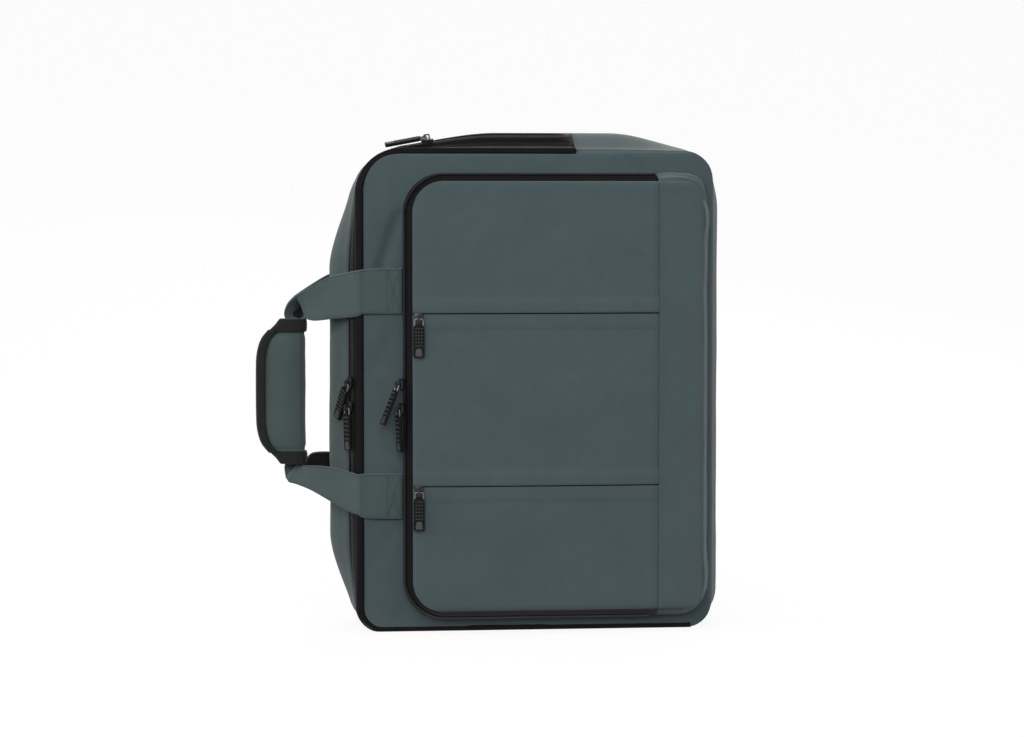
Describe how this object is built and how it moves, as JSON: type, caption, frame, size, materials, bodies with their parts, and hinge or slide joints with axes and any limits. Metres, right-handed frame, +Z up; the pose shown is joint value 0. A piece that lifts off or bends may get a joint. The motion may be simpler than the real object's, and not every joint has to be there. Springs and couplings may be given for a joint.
{
  "type": "convertible backpack",
  "caption": "Soft boxy cloth briefcase-backpack standing upright, with a side carry handle, a raised zipped front compartment, face pockets and zip pulls.",
  "frame": {"origin": "middle of the flat base that the bag stands on, under the middle of the main body", "axes": "+Z up along the body's long side, +X right across the front as seen from before it, the front faces -Y and the carry handle is at -X"},
  "size_m": [0.4206, 0.1342, 0.4474],
  "materials": {
    "cloth": "matte fine plain weave, slate green",
    "side_cloth": "matte fine plain weave, slate green",
    "webbing": "matte folded cloth strap, slate green",
    "zip_tape": "black coated zip tape with a slight gloss",
    "zip_coil": "black nylon coil",
    "binding": "black ribbed binding tape",
    "slider": "black enamelled metal",
    "pull": "black moulded pull with raised dots"
  },
  "bodies": {
    "bag": {"gusset": "side_cloth", "main_zip_tape": "zip_tape", "main_zip_coil": "zip_coil", "top_zip_tape": "zip_tape", "top_zip_coil": "zip_coil", "front_panel": "cloth", "back_panel": "cloth", "pocket_zip_tape": "zip_tape", "pocket_wall": "side_cloth", "pocket_zip_coil": "zip_coil", "face_top": "cloth", "face_middle": "cloth", "face_bottom": "cloth", "face_side": "cloth", "pocket_zip_upper": "zip_tape", "pocket_zip_lower": "zip_tape", "strap_front": "webbing", "strap_back": "webbing", "grip_wrap": "cloth", "grip_binding": "binding", "grip_cuff_upper": "binding", "grip_cuff_lower": "binding", "main_upper_slider": "slider", "main_lower_slider": "slider", "top_slider": "slider", "pocket_upper_slider": "slider", "pocket_lower_slider": "slider", "face_upper_slider": "slider", "face_lower_slider": "slider"},
    "main_upper_pull": {"main_upper_pull": "pull"},
    "main_lower_pull": {"main_lower_pull": "pull"},
    "top_pull": {"top_pull": "pull"},
    "pocket_upper_pull": {"pocket_upper_pull": "pull"},
    "pocket_lower_pull": {"pocket_lower_pull": "pull"},
    "face_upper_pull": {"face_upper_pull": "pull"},
    "face_lower_pull": {"face_lower_pull": "pull"}
  },
  "joints": [
    {"name": "main_upper_pull_hinge", "type": "hinge", "parent": "bag", "child": "main_upper_pull", "pos_m": [-0.16949, -0.03789, 0.223], "axis": [-0.41, 0.7628, 0.5], "range_deg": [0, 145]},
    {"name": "main_lower_pull_hinge", "type": "hinge", "parent": "bag", "child": "main_lower_pull", "pos_m": [-0.16949, -0.03789, 0.201], "axis": [-0.4734, 0.8808, 0], "range_deg": [0, 145]},
    {"name": "top_pull_hinge", "type": "hinge", "parent": "bag", "child": "top_pull", "pos_m": [-0.09567, -0.01486, 0.44316], "axis": [0, 0.9763, 0.2162], "range_deg": [0, 145]},
    {"name": "pocket_upper_pull_hinge", "type": "hinge", "parent": "bag", "child": "pocket_upper_pull", "pos_m": [-0.12503, -0.06103, 0.223], "axis": [-0.2677, 0.9635, 0], "range_deg": [0, 120]},
    {"name": "pocket_lower_pull_hinge", "type": "hinge", "parent": "bag", "child": "pocket_lower_pull", "pos_m": [-0.12503, -0.06103, 0.201], "axis": [-0.2677, 0.9635, 0], "range_deg": [0, 35]},
    {"name": "face_upper_pull_hinge", "type": "hinge", "parent": "bag", "child": "face_upper_pull", "pos_m": [-0.108, -0.08211, 0.282], "axis": [-1, 0, 0], "range_deg": [0, 145]},
    {"name": "face_lower_pull_hinge", "type": "hinge", "parent": "bag", "child": "face_lower_pull", "pos_m": [-0.108, -0.08209, 0.1287], "axis": [-1, 0, 0], "range_deg": [0, 145]}
  ]
}
